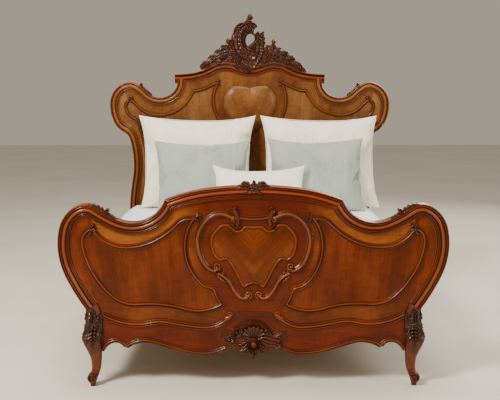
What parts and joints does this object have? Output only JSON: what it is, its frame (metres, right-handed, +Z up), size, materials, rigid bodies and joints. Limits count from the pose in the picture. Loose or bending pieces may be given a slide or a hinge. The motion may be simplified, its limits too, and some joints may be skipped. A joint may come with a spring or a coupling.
{
  "type": "bed",
  "caption": "Antique French carved walnut double bed with scrolled horns on both boards, pierced crest, cabriole front legs, slatted base, mattress, duvet and pillows.",
  "frame": {"origin": "on the floor, under the middle of the bed's overall length and width", "axes": "+Z up; +Y from the foot of the bed to its head; +X to the right for someone at the foot looking at the headboard"},
  "size_m": [1.75, 2.1331, 1.757],
  "materials": {
    "walnut_red": "French-polished reddish walnut mouldings, legs and apron of the footboard, semi-gloss",
    "walnut_gold": "French-polished golden-brown walnut mouldings, posts and rails, semi-gloss",
    "walnut_field": "figured walnut veneer on the panels and the shield, semi-gloss",
    "walnut_burl": "bookmatched burr walnut veneer on the domed heart, gloss",
    "walnut_carving": "dark stained carved walnut, glossy on the high spots",
    "oak_secondary": "plain unpolished secondary timber of slats, ledgers, beam and battens",
    "blued_steel": "dark bed-rail hook plates and screws",
    "mattress_ticking": "woven cotton ticking",
    "white_cotton": "white cotton duvet cover",
    "white_linen": "off-white slubbed linen pillow covers",
    "sage_linen": "pale grey-green linen pillow covers"
  },
  "bodies": {
    "bedstead": {"apron_carving": "walnut_carving", "apron_edge_bead": "walnut_red", "base_moulding": "walnut_red", "beam_cleats": "oak_secondary", "beam_legs": "oak_secondary", "bridge_scroll": "walnut_red", "c_scroll_left": "walnut_red", "c_scroll_right": "walnut_red", "cartouche_shield": "walnut_field", "centre_beam": "oak_secondary", "crest_carving": "walnut_carving", "crest_spray_left": "walnut_carving", "crest_spray_right": "walnut_carving", "footboard_apron": "walnut_red", "footboard_battens": "oak_secondary", "footboard_cap_centre": "walnut_red", "footboard_cap_left": "walnut_red", "footboard_cap_right": "walnut_red", "footboard_crest_carving": "walnut_carving", "footboard_horn_leaves": "walnut_carving", "footboard_panel": "walnut_field", "front_leg_left": "walnut_red", "front_leg_right": "walnut_red", "headboard_battens": "oak_secondary", "headboard_bottom_rail": "oak_secondary", "headboard_bracket_moulding_left": "walnut_gold", "headboard_bracket_moulding_right": "walnut_gold", "headboard_cap_left": "walnut_gold", "headboard_cap_right": "walnut_gold", "headboard_cornice": "walnut_gold", "headboard_field_leaves": "walnut_carving", "headboard_field_moulding_left": "walnut_gold", "headboard_field_moulding_right": "walnut_gold", "headboard_heart": "walnut_burl", "headboard_horn_leaves": "walnut_carving", "headboard_panel": "walnut_field", "headboard_post_left": "walnut_gold", "headboard_post_right": "walnut_gold", "hook_screws": "blued_steel", "rail_hooks": "blued_steel", "rail_moulding_left": "walnut_gold", "rail_moulding_right": "walnut_gold", "s_scroll_left": "walnut_red", "s_scroll_right": "walnut_red", "side_rail_left": "walnut_gold", "side_rail_right": "walnut_gold", "slat_ledger_left": "oak_secondary", "slat_ledger_right": "oak_secondary", "slats": "oak_secondary", "wing_leaves": "walnut_carving", "wing_moulding_left": "walnut_red", "wing_moulding_right": "walnut_red"},
    "mattress": {"mattress": "mattress_ticking"},
    "duvet": {"duvet": "white_cotton"},
    "white_pillow_right": {"pillow_white_right": "white_linen"},
    "white_pillow_left": {"pillow_white_left": "white_linen"},
    "sage_pillow_right": {"pillow_sage_right": "sage_linen"},
    "sage_pillow_left": {"pillow_sage_left": "sage_linen"},
    "small_pillow": {"pillow_small": "white_linen"}
  },
  "joints": [
    {"name": "mattress_lift", "type": "slide", "parent": "bedstead", "child": "mattress", "axis": [0, 0, 1], "range_m": [0, 0.3]},
    {"name": "duvet_lift", "type": "slide", "parent": "mattress", "child": "duvet", "axis": [0, 0, 1], "range_m": [0, 0.3]},
    {"name": "white_pillow_right_lift", "type": "slide", "parent": "duvet", "child": "white_pillow_right", "axis": [0, 0, 1], "range_m": [0, 0.25]},
    {"name": "white_pillow_left_lift", "type": "slide", "parent": "white_pillow_right", "child": "white_pillow_left", "axis": [0, 0, 1], "range_m": [0, 0.25]},
    {"name": "sage_pillow_right_lift", "type": "slide", "parent": "white_pillow_left", "child": "sage_pillow_right", "axis": [0, 0, 1], "range_m": [0, 0.25]},
    {"name": "sage_pillow_left_lift", "type": "slide", "parent": "sage_pillow_right", "child": "sage_pillow_left", "axis": [0, 0, 1], "range_m": [0, 0.25]},
    {"name": "small_pillow_lift", "type": "slide", "parent": "sage_pillow_left", "child": "small_pillow", "axis": [0, 0, 1], "range_m": [0, 0.25]}
  ]
}
